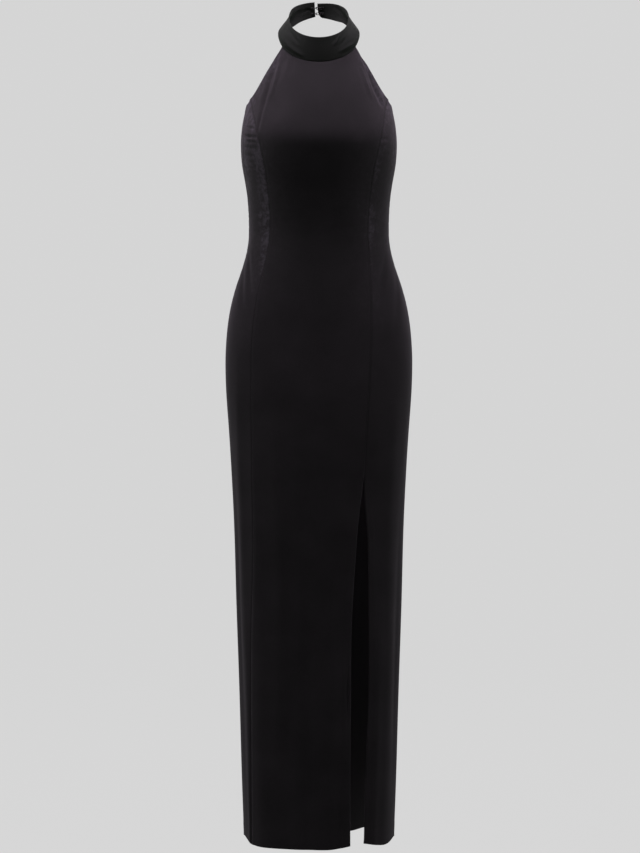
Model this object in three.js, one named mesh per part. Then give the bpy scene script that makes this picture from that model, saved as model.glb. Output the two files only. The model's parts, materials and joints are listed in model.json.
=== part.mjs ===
// Halter-neck maxi dress with an open back and a slit, held out as if it were worn.
// Millimetres. +Z is up, the front faces -Y and the wearer's left is +X.
// The origin is the middle of the neck band. A "drop" is a distance below it.
import * as THREE from "three";

// Cloth
const CLOTH = 1.8; // velvet with its turned edges
const BAND_CLOTH = 2.6; // the neck band is the cloth doubled
const SEAM_GAP = 0.3;

// Heights, as drops
const HEM = 1447;
const SLIT_TOP = 815;
const LOW_BUST = 262; // above this each panel runs up to its own top edge
const UNDERARM = 135;
const ARMHOLE_FOOT = 125; // where the front seam meets the armhole edge
const HIP = 587;
const BACK_DIP = { drop: 218, square: 1.6 }; // the open back at its lowest, and how square it is

// Neck band, whose rings tilt from low in front to high at the back
const NECK_TOP = { half: 53, middle: -6.5, deep: 63.5, height: 17.5, tilt: 37.5 };
const NECK_FOOT = { half: 70, middle: -5, deep: 65, height: -16.5, tilt: 46.5 };
const NECK_JOIN = 69; // degrees from the front where the bodice leaves the band
const NECK_LEAVES = 14; // degrees over which the foot then leaves the figure
const NARROW_NAPE = { share: 0.26, from: 88, full: 130 }; // the foot draws in behind the neck
const SQUARE_NAPE = { share: 0.22, from: 90, full: 150 }; // the top fills out behind the neck
// The band's soft outward roll: how much all round and more at the very sides, and how far
// up the band it reaches
const BAND_ROLL = { most: 9, round: 0.05, side: 0.95, narrow: 5, top: 0.8 };
// Behind the neck the band sits unevenly: how far its foot and its top are moved up
const BAND_SET = [
  { turn: -155, width: 24, foot: -2.5, top: 0 },
  { turn: 122, width: 12, foot: 5, top: 0 },
  { turn: 166, width: 26, foot: -3.5, top: 0 },
  { turn: 180, width: 18, foot: 0, top: -2.5 },
];
const BAND_END_RIGHT = -173; // degrees, wearer's right end at the nape, cut square
const BAND_END_LEFT = { turn: 182.6, round: 6.5, power: 4 }; // its lower corner is rounded

// The hem lifts at the side seams and at the slit
const HEM_LIFTS = [
  { turn: -88, width: 20, height: 12 },
  { turn: 33, width: 16, height: 9 },
  { turn: 90, width: 18, height: 10 },
  { turn: 137, width: 13, height: 16 },
];

// Level sections of the figure: half width, depth in front and behind, squareness
const SECTIONS = [
  { drop: 25, half: 70, front: 55, back: 58, square: 2.0 },
  { drop: 60, half: 96, front: 67.5, back: 78, square: 2.0 },
  { drop: 90, half: 114, front: 82, back: 91, square: 2.05 },
  { drop: 121, half: 126, front: 96.5, back: 100, square: 2.12 },
  { drop: 142, half: 130.5, front: 106, back: 104, square: 2.2 },
  { drop: 164, half: 135.5, front: 115.5, back: 104, square: 2.3 },
  { drop: 184, half: 138, front: 122.5, back: 103, square: 2.36 },
  { drop: 203, half: 139.2, front: 124, back: 100.5, square: 2.38 },
  { drop: 238, half: 137.3, front: 117.5, back: 94, square: 2.32 },
  { drop: 270, half: 131.5, front: 108, back: 86, square: 2.2 },
  { drop: 303, half: 126.5, front: 100.5, back: 79, square: 2.15 },
  { drop: 345, half: 124.5, front: 96, back: 74, square: 2.1 },
  { drop: 380, half: 125.5, front: 95.5, back: 78, square: 2.1 },
  { drop: 420, half: 135.5, front: 97, back: 92, square: 2.1 },
  { drop: 463, half: 150.4, front: 99.5, back: 110, square: 2.12 },
  { drop: 516, half: 161.7, front: 102, back: 126, square: 2.15 },
  { drop: 587, half: 166.9, front: 104, back: 133, square: 2.18 },
  { drop: 644, half: 165.7, front: 104.5, back: 129, square: 2.2 },
  { drop: 708, half: 160.4, front: 104, back: 118, square: 2.2 },
  { drop: 794, half: 155.4, front: 102, back: 108, square: 2.2 },
  { drop: 879, half: 151.4, front: 99.5, back: 101, square: 2.15 },
  { drop: 1018, half: 148.2, front: 96, back: 95, square: 2.1 },
  { drop: 1178, half: 143, front: 92.5, back: 92, square: 2.1 },
  { drop: 1328, half: 139, front: 89.5, back: 89, square: 2.1 },
  { drop: 1450, half: 134.5, front: 87, back: 87, square: 2.1 },
];

// Front seams, by how far out from the middle they lie
const SEAM_RIGHT = [
  { drop: 125, out: 121.5 },
  { drop: 146, out: 116 },
  { drop: 179, out: 109 },
  { drop: 217, out: 100 },
  { drop: 270, out: 90 },
  { drop: 354, out: 84 },
  { drop: 414, out: 93 },
  { drop: 463, out: 106 },
  { drop: 556, out: 117 },
  { drop: 779, out: 116.5 },
  { drop: 919, out: 114 },
  { drop: 1077, out: 119 },
  { drop: 1450, out: 119 },
];
const SEAM_LEFT = [
  { drop: 125, out: 121.5 },
  { drop: 146, out: 116 },
  { drop: 179, out: 111 },
  { drop: 217, out: 103 },
  { drop: 270, out: 92 },
  { drop: 354, out: 84.5 },
  { drop: 414, out: 88 },
  { drop: 463, out: 91 },
  { drop: 571, out: 91 },
  { drop: 700, out: 84 },
  { drop: 815, out: 77 },
];

// The two edges of the slit, which stands open as a narrow wedge
const SLIT_EDGES = [
  { drop: 815, inner: 77, outer: 77 },
  { drop: 849, inner: 71, outer: 82 },
  { drop: 886, inner: 67.5, outer: 86.2 },
  { drop: 952, inner: 63, outer: 87.5 },
  { drop: 1004, inner: 59.5, outer: 88 },
  { drop: 1075, inner: 56.5, outer: 88.3 },
  { drop: 1180, inner: 56, outer: 88 },
  { drop: 1283, inner: 55, outer: 84 },
  { drop: 1353, inner: 55, outer: 81.5 },
  { drop: 1450, inner: 55.2, outer: 79 },
];

// Side seams, in degrees round from the middle of the front
const SIDE_SEAM = [
  { drop: 135, turn: 81 },
  { drop: 164, turn: 76 },
  { drop: 206, turn: 71 },
  { drop: 238, turn: 73 },
  { drop: 262, turn: 78 },
  { drop: 303, turn: 84 },
  { drop: 345, turn: 87 },
  { drop: 587, turn: 89 },
  { drop: 1450, turn: 89 },
];

// Largest folds: middle and half width in degrees, height, and the drops where each
// starts, is fullest and ends. Those of the skirt run out over the hem.
const PAST_HEM = 3000;
const FOLDS = [
  { turn: -47, wide: 7, high: 1.8, from: 560, full: 1000, to: PAST_HEM },
  { turn: -78, wide: 9, high: -2.4, from: 700, full: 1150, to: PAST_HEM },
  { turn: -22, wide: 10, high: -2.0, from: 820, full: 1250, to: PAST_HEM },
  { turn: 6, wide: 9, high: 2.0, from: 880, full: 1300, to: PAST_HEM },
  { turn: 26, wide: 6, high: 3.0, from: 830, full: 1150, to: PAST_HEM },
  { turn: 50, wide: 7, high: 2.8, from: 830, full: 1100, to: PAST_HEM },
  { turn: 74, wide: 8, high: -2.4, from: 760, full: 1150, to: PAST_HEM },
  { turn: 112, wide: 9, high: 2.8, from: 640, full: 1100, to: PAST_HEM },
  { turn: 138, wide: 10, high: -2.6, from: 700, full: 1200, to: PAST_HEM },
  { turn: 163, wide: 8, high: 2.4, from: 680, full: 1050, to: PAST_HEM },
  { turn: -168, wide: 9, high: -2.2, from: 720, full: 1180, to: PAST_HEM },
  { turn: -143, wide: 10, high: 3.0, from: 660, full: 1100, to: PAST_HEM },
  { turn: -114, wide: 9, high: -2.4, from: 760, full: 1250, to: PAST_HEM },
  { turn: -63, wide: 9, high: -1.8, from: 70, full: 120, to: 185 },
  { turn: 60, wide: 9, high: -1.8, from: 60, full: 110, to: 180 },
];

// Number of steps in each grid
const SKIRT_ROWS = [16, 14]; // hem to hip, hip to low bust
const BUST_ROWS = 9;
const CHEST_ROWS = 8;
const FRONT_COLUMNS = 22;
const SIDE_COLUMNS = 5;
const BACK_COLUMNS = 10;
const BAND_TAIL_COLUMNS = 16;
const BAND_ROWS = 5;
const SLOPE_STEP = { turn: 0.5, drop: 1, bandTurn: 1, bandRise: 0.03 }; // for outward directions

// Hooks and eyes. Each leg is sewn inside the band at these turns. In the gap at the nape the
// wire's places are given by their x, and by shares of the hook's depth or the eye's height.
const WIRE = 1.2;
const WIRE_SIDES = 8;
const WIRE_STEPS = 3; // from one place to the next
const WIRE_SEAT = 0.7; // clear of the band's inner face
const HOOK_HEIGHTS = { lower: 34, upper: 44 };
const HOOK_OPEN = 3.2; // between the two legs of a hook
const HOOK_LEG_TURNS = [-165, -169, BAND_END_RIGHT];
const HOOK_BEND = [
  { x: -5.9, turned: 0 },
  { x: -4.5, turned: 0.12 },
  { x: -3.8, turned: 0.5 },
  { x: -4.5, turned: 0.88 },
  { x: -5.3, turned: 1 },
];
const EYE_HALF = 1.7;
const EYE_LEG_TURNS = [171, 176, 181, 183]; // the last is just past the left end of the band
const EYE_BOW = [
  { x: -4.5, up: 0.9 },
  { x: -5.7, up: 0 },
  { x: -4.5, up: -0.9 },
];

const BLACK_VELVET = { color: 0x161417, roughness: 0.9, metalness: 0 };
const BLACK_METAL = { color: 0x1a1a1c, roughness: 0.4, metalness: 1 };

const radians = THREE.MathUtils.degToRad;
const mix = THREE.MathUtils.lerp;
const ease = THREE.MathUtils.smoothstep;

// A smooth curve through one column of a table, at the given drop
function column(rows, name, drop) {
  const last = rows.length - 1;
  let i = 0;
  while (i < last - 1 && drop > rows[i + 1].drop) i += 1;
  const slope = (k) => {
    const from = rows[Math.max(k - 1, 0)];
    const to = rows[Math.min(k + 1, last)];
    return (to[name] - from[name]) / (to.drop - from.drop);
  };
  const a = rows[i];
  const b = rows[i + 1];
  const span = b.drop - a.drop;
  const t = THREE.MathUtils.clamp((drop - a.drop) / span, 0, 1);
  const t2 = t * t;
  const t3 = t2 * t;
  const value = a[name] * (2 * t3 - 3 * t2 + 1) + b[name] * (3 * t2 - 2 * t3);
  return value + span * (slope(i) * (t3 - 2 * t2 + t) + slope(i + 1) * (t3 - t2));
}

// How far the folds lift the cloth at a place
function foldLift(turn, drop) {
  let lift = 0;
  for (const fold of FOLDS) {
    const away = (turn - fold.turn) / fold.wide;
    const start = ease(drop, fold.from, fold.full);
    const end = ease(drop, fold.full, fold.to);
    lift += fold.high * start * (1 - end) * Math.exp(-away * away);
  }
  return lift;
}

// A place on the smooth figure, from its turn in degrees round from the front
function figure(turn, drop) {
  const power = 2 / column(SECTIONS, "square", drop);
  const sine = Math.sin(radians(turn));
  const cosine = Math.cos(radians(turn));
  const depth = column(SECTIONS, cosine > 0 ? "front" : "back", drop);
  return new THREE.Vector3(
    column(SECTIONS, "half", drop) * Math.sign(sine) * Math.abs(sine) ** power,
    -depth * Math.sign(cosine) * Math.abs(cosine) ** power,
    -drop,
  );
}

// The outward direction of a surface that is a function of two values
function outward(surface, u, v, stepU, stepV) {
  const across = surface(u + stepU, v).sub(surface(u - stepU, v));
  const down = surface(u, v + stepV).sub(surface(u, v - stepV));
  return down.cross(across).normalize();
}

// The outer face of the cloth, with its folds, and its outward direction
function cloth(turn, drop) {
  const direction = outward(figure, turn, drop, SLOPE_STEP.turn, SLOPE_STEP.drop);
  const place = figure(turn, drop).addScaledVector(direction, foldLift(turn, drop));
  return { place, direction };
}

// The turn at which the front of a section is this far out from the middle
function turnAt(out, drop) {
  const share = Math.min(Math.abs(out) / column(SECTIONS, "half", drop), 1);
  const sine = share ** (column(SECTIONS, "square", drop) / 2);
  return Math.sign(out) * THREE.MathUtils.radToDeg(Math.asin(sine));
}

// Degrees of turn that make half of the gap at a seam
function halfGap(turn, drop) {
  const speed = figure(turn + 0.5, drop).distanceTo(figure(turn - 0.5, drop));
  return SEAM_GAP / 2 / speed;
}

// The drop of the hem at a turn
function hemDrop(turn) {
  let drop = HEM;
  for (const lift of HEM_LIFTS) {
    const away = (turn - lift.turn) / lift.width;
    drop -= lift.height * Math.exp(-away * away);
  }
  return drop;
}

// Neck band: the rings at its top and foot
function neckRing(ring, turn) {
  const sine = Math.sin(radians(turn));
  const cosine = Math.cos(radians(turn));
  return new THREE.Vector3(
    ring.half * sine,
    ring.middle - ring.deep * cosine,
    ring.height - ring.tilt * cosine,
  );
}

// How far up one edge of the band is moved at a turn
function bandSet(turn, edge) {
  let up = 0;
  for (const row of BAND_SET) {
    const away = (turn - row.turn) / row.width;
    up += row[edge] * Math.exp(-away * away);
  }
  return up;
}

// The foot of the band lies on the figure as far as the bodice is joined to it
function bandFoot(turn) {
  const foot = neckRing(NECK_FOOT, turn);
  const joined = Math.min(Math.abs(turn), NECK_JOIN);
  const onRing = neckRing(NECK_FOOT, joined);
  const onFigure = figure(turnAt(onRing.x, -onRing.z), -onRing.z);
  const past = Math.max(Math.abs(turn) - NECK_JOIN, 0);
  foot.y += (onFigure.y - onRing.y) * Math.exp(-past / NECK_LEAVES);
  foot.x *= 1 - NARROW_NAPE.share * ease(Math.abs(turn), NARROW_NAPE.from, NARROW_NAPE.full);
  foot.z += bandSet(turn, "foot");
  return foot;
}

function bandTop(turn) {
  const top = neckRing(NECK_TOP, turn);
  top.x *= 1 + SQUARE_NAPE.share * ease(Math.abs(turn), SQUARE_NAPE.from, SQUARE_NAPE.full);
  top.z += bandSet(turn, "top");
  return top;
}

function bandSurface(turn, rise) {
  const foot = bandFoot(turn);
  const place = foot.clone().lerp(bandTop(turn), rise);
  const atSide = Math.abs(Math.sin(radians(turn))) ** BAND_ROLL.narrow;
  const most = BAND_ROLL.round + BAND_ROLL.side * atSide;
  const roll = Math.sin(Math.PI * Math.min(rise / BAND_ROLL.top, 1));
  const away = new THREE.Vector3(Math.sin(radians(turn)), -Math.cos(radians(turn)), 0);
  return place.addScaledVector(away, BAND_ROLL.most * most * roll);
}

function bandCloth(turn, rise) {
  const falling = (u, v) => bandSurface(u, -v);
  const direction = outward(falling, turn, -rise, SLOPE_STEP.bandTurn, SLOPE_STEP.bandRise);
  return { place: bandSurface(turn, rise), direction };
}

// A closed wall over a grid of places, each with its outward direction
function wall(grid, thickness) {
  const rows = grid.length;
  const columns = grid[0].length;
  const corners = [];
  for (const layer of [0, thickness]) {
    for (const spot of grid.flat()) {
      corners.push(...spot.place.clone().addScaledVector(spot.direction, -layer).toArray());
    }
  }
  const outer = (r, c) => r * columns + c;
  const inner = (r, c) => rows * columns + outer(r, c);
  const faces = [];
  const quad = (a, b, c, d) => faces.push(a, b, c, a, c, d);
  for (let r = 0; r + 1 < rows; r += 1) {
    for (let c = 0; c + 1 < columns; c += 1) {
      quad(outer(r, c), outer(r, c + 1), outer(r + 1, c + 1), outer(r + 1, c));
      quad(inner(r, c), inner(r + 1, c), inner(r + 1, c + 1), inner(r, c + 1));
    }
  }
  for (let c = 0; c + 1 < columns; c += 1) {
    quad(outer(0, c), inner(0, c), inner(0, c + 1), outer(0, c + 1));
    quad(outer(rows - 1, c), outer(rows - 1, c + 1), inner(rows - 1, c + 1), inner(rows - 1, c));
  }
  const end = columns - 1;
  for (let r = 0; r + 1 < rows; r += 1) {
    quad(outer(r, 0), outer(r + 1, 0), inner(r + 1, 0), inner(r, 0));
    quad(outer(r, end), inner(r, end), inner(r + 1, end), outer(r + 1, end));
  }
  const geometry = new THREE.BufferGeometry();
  geometry.setAttribute("position", new THREE.Float32BufferAttribute(corners, 3));
  geometry.setIndex(faces);
  geometry.computeVertexNormals();
  return geometry;
}

// The rows of a panel from its hem up: shares of the way between the named heights
function rowShares() {
  const rows = [];
  for (let i = 0; i < SKIRT_ROWS[0]; i += 1) rows.push({ part: "skirt", share: i / SKIRT_ROWS[0] });
  for (let i = 0; i < SKIRT_ROWS[1]; i += 1) rows.push({ part: "hip", share: i / SKIRT_ROWS[1] });
  for (let i = 0; i <= BUST_ROWS; i += 1) rows.push({ part: "bust", share: i / BUST_ROWS });
  return rows;
}

// The drop of a row, where the panel's own hem and top edge are known
function rowDrop(row, hem, top) {
  if (row.part === "skirt") return mix(hem, HIP, row.share);
  if (row.part === "hip") return mix(HIP, LOW_BUST, row.share);
  return mix(LOW_BUST, top, row.share);
}

// A panel between two seams, each a function of the drop that gives the turn
function panel(from, to, topEdge, columns) {
  return rowShares().map((row) => {
    const spots = [];
    for (let c = 0; c <= columns; c += 1) {
      const share = c / columns;
      const guess = rowDrop(row, HEM, topEdge(share));
      const near = mix(from(guess), to(guess), share);
      const drop = rowDrop(row, hemDrop(near), topEdge(share));
      const start = from(drop) + halfGap(from(drop), drop);
      const end = to(drop) - halfGap(to(drop), drop);
      spots.push(cloth(mix(start, end, share), drop));
    }
    return spots;
  });
}

const seamRightTurn = (drop) => turnAt(-column(SEAM_RIGHT, "out", drop), drop);
const sideTurn = (drop) => column(SIDE_SEAM, "turn", drop);

// The left front seam, and below it one edge of the slit
function seamLeftTurn(edge) {
  return (drop) => {
    const sewn = drop < SLIT_TOP;
    const out = sewn ? column(SEAM_LEFT, "out", drop) : column(SLIT_EDGES, edge, drop);
    return turnAt(out, drop);
  };
}

// The centre front runs on above its seams to the neck band. Its armhole edges are
// straight cuts from the ends of the neck seam to the front seams.
function centreFront() {
  const seamLeft = seamLeftTurn("inner");
  const rows = panel(seamRightTurn, seamLeft, () => ARMHOLE_FOOT, FRONT_COLUMNS);
  const level = rows[rows.length - 1];
  for (let r = 1; r <= CHEST_ROWS; r += 1) {
    const rise = r / CHEST_ROWS;
    rows.push(
      level.map((spot, c) => {
        const neckTurn = mix(-NECK_JOIN, NECK_JOIN, c / FRONT_COLUMNS);
        const neck = bandFoot(neckTurn);
        const out = mix(spot.place.x, neck.x, rise);
        const drop = mix(ARMHOLE_FOOT, SEAM_GAP - neck.z, rise);
        return cloth(turnAt(out, drop), drop);
      }),
    );
  }
  return wall(rows, CLOTH);
}

// The top of a side front follows the armhole edge from the front seam to the side seam
function sideFrontTop(share) {
  return mix(ARMHOLE_FOOT, UNDERARM, share);
}

function sideFrontRight() {
  const side = (drop) => -sideTurn(drop);
  const top = (share) => sideFrontTop(1 - share);
  return wall(panel(side, seamRightTurn, top, SIDE_COLUMNS), CLOTH);
}

function sideFrontLeft() {
  return wall(panel(seamLeftTurn("outer"), sideTurn, sideFrontTop, SIDE_COLUMNS), CLOTH);
}

// The open back dips in a soft curve from the underarms to the middle seam
function backTop(share) {
  return mix(UNDERARM, BACK_DIP.drop, Math.sin((Math.PI / 2) * share) ** BACK_DIP.square);
}

function backLeft() {
  return wall(panel(sideTurn, () => 180, backTop, BACK_COLUMNS), CLOTH);
}

function backRight() {
  const side = (drop) => -sideTurn(drop);
  return wall(panel(() => -180, side, (share) => backTop(1 - share), BACK_COLUMNS), CLOTH);
}

// The turns of one row of the band, whose front keeps to the columns of the centre front
function bandTurns(endRight, endLeft) {
  const turns = [];
  for (let i = 0; i < BAND_TAIL_COLUMNS; i += 1) {
    turns.push(mix(endRight, -NECK_JOIN, i / BAND_TAIL_COLUMNS));
  }
  for (let c = 0; c <= FRONT_COLUMNS; c += 1) {
    turns.push(mix(-NECK_JOIN, NECK_JOIN, c / FRONT_COLUMNS));
  }
  for (let i = 1; i <= BAND_TAIL_COLUMNS; i += 1) {
    turns.push(mix(NECK_JOIN, endLeft, i / BAND_TAIL_COLUMNS));
  }
  return turns;
}

function neckBand() {
  const grid = [];
  for (let r = 0; r <= BAND_ROWS; r += 1) {
    const rise = r / BAND_ROWS;
    const endLeft = BAND_END_LEFT.turn - BAND_END_LEFT.round * (1 - rise) ** BAND_END_LEFT.power;
    grid.push(bandTurns(BAND_END_RIGHT, endLeft).map((turn) => bandCloth(turn, rise)));
  }
  return wall(grid, BAND_CLOTH);
}

// Round wire along a run of places
function wire(places) {
  const path = new THREE.CatmullRomCurve3(places, false, "centripetal");
  const section = new THREE.Shape();
  for (let i = 0; i < WIRE_SIDES; i += 1) {
    const angle = (i / WIRE_SIDES) * Math.PI * 2;
    const move = i === 0 ? "moveTo" : "lineTo";
    section[move]((Math.cos(angle) * WIRE) / 2, (Math.sin(angle) * WIRE) / 2);
  }
  const steps = WIRE_STEPS * places.length;
  return new THREE.ExtrudeGeometry(section, { steps, extrudePath: path });
}

// A place just inside the band, at its given height above the origin
function insideBand(turn, height) {
  const foot = bandFoot(turn).z;
  const rise = (height - foot) / (bandTop(turn).z - foot);
  const spot = bandCloth(turn, rise);
  return spot.place.addScaledVector(spot.direction, -(BAND_CLOTH + WIRE_SEAT + WIRE / 2));
}

// Places in the gap at the nape, at their shares of the hook's depth and the eye's height
function inGap(places, height) {
  const start = insideBand(BAND_END_RIGHT, height).y;
  return places.map(({ x, turned = 0.5, up = 0 }) => (
    new THREE.Vector3(x, start + turned * HOOK_OPEN, height + up * EYE_HALF)
  ));
}

// A hook on the right end reaches over the gap and turns back through its eye
function hook(height) {
  const sewn = HOOK_LEG_TURNS.map((turn) => insideBand(turn, height));
  return wire([...sewn, ...inGap(HOOK_BEND, height)]);
}

// An eye is a wire bow sewn inside the left end, open towards the wearer's left
function eye(height) {
  const leg = (side) => EYE_LEG_TURNS.map((turn) => insideBand(turn, height + side * EYE_HALF));
  return wire([...leg(1), ...inGap(EYE_BOW, height), ...leg(-1).reverse()]);
}

const dress = new THREE.Group();

function add(name, geometry, finish) {
  const mesh = new THREE.Mesh(geometry, new THREE.MeshStandardMaterial(finish));
  mesh.name = name;
  dress.add(mesh);
}

add("front_centre", centreFront(), BLACK_VELVET);
add("front_side_right", sideFrontRight(), BLACK_VELVET);
add("front_side_left", sideFrontLeft(), BLACK_VELVET);
add("back_left", backLeft(), BLACK_VELVET);
add("back_right", backRight(), BLACK_VELVET);
add("neck_band", neckBand(), BLACK_VELVET);
for (const [place, height] of Object.entries(HOOK_HEIGHTS)) {
  add(`hook_${place}`, hook(height), BLACK_METAL);
  add(`eye_${place}`, eye(height), BLACK_METAL);
}

export default dress;
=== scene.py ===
# %% [markdown]
# A halter-neck maxi dress in black velvet, held out as if it were worn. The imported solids
# give the cut: three front panels, two back panels, a neck band and its hooks and eyes.
# Here each panel becomes a thin sheet of cloth with seams, turned edges and creases.
# The frame is loaded first, because every piece takes its place from it.

# %% Load the frame
import json
import math
import bpy
import numpy as np
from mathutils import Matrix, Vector, kdtree

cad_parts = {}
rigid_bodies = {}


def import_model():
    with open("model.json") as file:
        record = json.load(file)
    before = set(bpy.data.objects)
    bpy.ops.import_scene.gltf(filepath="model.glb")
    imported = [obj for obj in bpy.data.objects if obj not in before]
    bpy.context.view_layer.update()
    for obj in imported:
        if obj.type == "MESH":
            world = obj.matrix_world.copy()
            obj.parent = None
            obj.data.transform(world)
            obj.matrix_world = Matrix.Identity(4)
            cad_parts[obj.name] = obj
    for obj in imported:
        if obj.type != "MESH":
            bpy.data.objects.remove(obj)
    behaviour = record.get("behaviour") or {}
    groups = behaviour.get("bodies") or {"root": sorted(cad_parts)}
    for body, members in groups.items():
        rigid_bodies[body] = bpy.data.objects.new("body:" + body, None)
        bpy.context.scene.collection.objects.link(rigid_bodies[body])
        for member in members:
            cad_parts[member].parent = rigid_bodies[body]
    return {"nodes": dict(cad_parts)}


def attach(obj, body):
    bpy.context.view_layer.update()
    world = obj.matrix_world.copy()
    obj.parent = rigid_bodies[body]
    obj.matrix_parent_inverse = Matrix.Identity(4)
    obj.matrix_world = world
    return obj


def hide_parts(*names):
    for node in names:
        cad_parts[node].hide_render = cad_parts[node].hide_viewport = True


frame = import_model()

MM = 0.001
scene = bpy.context.scene
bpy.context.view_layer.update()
print("solids:", sorted(frame["nodes"]))

# %% [markdown]
# The photo looks straight at the front from a long way off and from the height of the
# hips: the hem shows as a shallow curve and its far side a little higher than the near
# one. A long lens about five metres away gives that. The camera is made first, so every
# later render can be set against the photo.

# %% Camera
PHOTO_HEIGHT = 853
MM_PER_PIXEL = 1.78
CAMERA_AWAY = 4.9
CAMERA_SIDE = 0.002
CAMERA_HEIGHT = -0.5
MIDDLE_HEIGHT = -0.7035
SENSOR = 36.0

camera_data = bpy.data.cameras.new("camera")
camera_data.sensor_width = SENSOR
camera_data.lens = SENSOR * CAMERA_AWAY / (PHOTO_HEIGHT * MM_PER_PIXEL * MM)
camera = bpy.data.objects.new("camera", camera_data)
scene.collection.objects.link(camera)
camera.location = (CAMERA_SIDE, -CAMERA_AWAY, CAMERA_HEIGHT)
down = math.atan2(CAMERA_HEIGHT - MIDDLE_HEIGHT, CAMERA_AWAY)
camera.rotation_euler = (math.pi / 2 - down, 0, 0)
scene.camera = camera
print("lens", round(camera_data.lens, 1), "mm, tilted down", round(math.degrees(down), 2))

# %% [markdown]
# Colours are written as sRGB hex, as a paint program shows them, and Blender's nodes want
# linear light. One function turns them. A second one adds any shader node with its
# settings and links, so that a material reads as a list of what is in it.

# %% Helpers for materials
def linear(hex_colour):
    # the curve and its numbers are those of the sRGB standard
    parts = [int(hex_colour[i:i + 2], 16) / 255 for i in (1, 3, 5)]
    turned = [c / 12.92 if c <= 0.04045 else ((c + 0.055) / 1.055) ** 2.4 for c in parts]
    return (*turned, 1.0)


def new_material(name):
    material = bpy.data.materials.new(name)
    material.use_nodes = True
    material.node_tree.nodes.clear()
    return material


def add_node(material, kind, settings=None, inputs=None, links=None):
    tree = material.node_tree
    node = tree.nodes.new(kind)
    for key, value in (settings or {}).items():
        setattr(node, key, value)
    for key, value in (inputs or {}).items():
        node.inputs[key].default_value = value
    for key, (source, output) in (links or {}).items():
        tree.links.new(source.outputs[output], node.inputs[key])
    return node


def set_ramp(node, *stops):
    ramp = node.color_ramp  # a new ramp already has two stops
    for position, _ in stops[2:]:
        ramp.elements.new(position)
    for element, (position, colour) in zip(ramp.elements, stops):
        element.position = position
        element.color = linear(colour)


print("sRGB #808080 is", round(linear("#808080")[0], 3), "in linear light")

# %% [markdown]
# The cloth is a silky stretch velvet: a short upright pile on a knitted ground. Seen face
# on, the eye looks down between the fibres and the cloth is almost black; seen along the
# surface, or lit from above, the fibre tips catch the light with a faint plum grey. The
# Sheen lobe of the Principled shader is made for this. Where the cloth is handled or
# strained the pile lies over in patches 9 mm across. An attribute painted on the mesh
# further down turns them up beside the seams and the armholes and leaves the rest almost
# even. Inside a seam it is set low, so the colour there is darker: painted shade in the
# seam's groove. The real tufts are 0.2 mm apart, which is too fine to show, so they are
# drawn at 1 mm. The neck band looks darker and less purple in the photo, so it gets the
# velvet in darker, greener colours of its own: painted shade, and a tint that takes out
# the plum of the lamp above.

# %% Velvet
TUFT_MM = 1.0
NAP_PATCH_MM = 9.0
NAP_SWEEP_MM = 70.0
TUFT_WEIGHT = 0.35
SWEEP_WEIGHT = 0.3


def velvet_material(name, dark, light, laid, sheen, sheen_tint):
    material = new_material(name)
    place = add_node(material, "ShaderNodeTexCoord")
    rubbed_and_seam_shade = add_node(material, "ShaderNodeAttribute", {"attribute_name": "rubbed_and_seam_shade"})
    tufts = add_node(
        material, "ShaderNodeTexNoise",
        inputs={"Scale": 1000 / TUFT_MM, "Detail": 2.0, "Roughness": 0.6},
        links={"Vector": (place, "Object")},
    )
    sweeps = add_node(
        material, "ShaderNodeTexNoise",
        inputs={"Scale": 1000 / NAP_SWEEP_MM, "Detail": 1.0, "Roughness": 0.5},
        links={"Vector": (place, "Object")},
    )
    patches = add_node(
        material, "ShaderNodeTexNoise",
        inputs={"Scale": 1000 / NAP_PATCH_MM, "Detail": 3.0, "Roughness": 0.6, "Distortion": 0.6},
        links={"Vector": (place, "Object")},
    )
    # patches of laid-over pile; where the attribute is set low inside a seam, this paints shade
    laid_over_and_seam_shade = add_node(
        material, "ShaderNodeMath", {"operation": "MULTIPLY"},
        links={0: (patches, "Fac"), 1: (rubbed_and_seam_shade, "Fac")},
    )
    even = add_node(
        material, "ShaderNodeMath", {"operation": "MULTIPLY_ADD"},
        inputs={1: TUFT_WEIGHT}, links={0: (tufts, "Fac"), 2: (laid_over_and_seam_shade, "Value")},
    )
    nap = add_node(
        material, "ShaderNodeMath", {"operation": "MULTIPLY_ADD"},
        inputs={1: SWEEP_WEIGHT}, links={0: (sweeps, "Fac"), 2: (even, "Value")},
    )
    colour = add_node(material, "ShaderNodeValToRGB", links={"Fac": (nap, "Value")})
    set_ramp(colour, (0.28, dark), (0.58, light), (0.92, laid))
    rough = add_node(
        material, "ShaderNodeMapRange",
        inputs={"From Min": 0.25, "From Max": 0.9, "To Min": 0.98, "To Max": 0.8},
        links={"Value": (nap, "Value")},
    )
    bump = add_node(
        material, "ShaderNodeBump",
        inputs={"Strength": 0.45, "Distance": 0.45 * MM},
        links={"Height": (nap, "Value")},
    )
    shader = add_node(
        material, "ShaderNodeBsdfPrincipled",
        inputs={
            "Specular IOR Level": 0.1,
            "IOR": 1.5,
            "Sheen Weight": sheen,
            "Sheen Roughness": 0.5,
            "Sheen Tint": linear(sheen_tint),
        },
        links={
            "Base Color": (colour, "Color"),
            "Roughness": (rough, "Result"),
            "Normal": (bump, "Normal"),
        },
    )
    add_node(material, "ShaderNodeOutputMaterial", links={"Surface": (shader, "BSDF")})
    return material


velvet = velvet_material(
    "black_pile_velvet",
    dark="#0a090a", light="#151315", laid="#38343b", sheen=0.17, sheen_tint="#8a848b",
)
# a darker, greener copy of the velvet for the neck band: painted shade, and a tint that cancels
# the plum of the lamp above
band_velvet_painted_shade = velvet_material(
    "black_pile_velvet_painted_shade",
    dark="#060706", light="#0c0e0c", laid="#1a1d1a", sheen=0.115, sheen_tint="#7a867a",
)
print("tufts every", TUFT_MM, "mm, laid-over patches", NAP_PATCH_MM, "mm")

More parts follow.
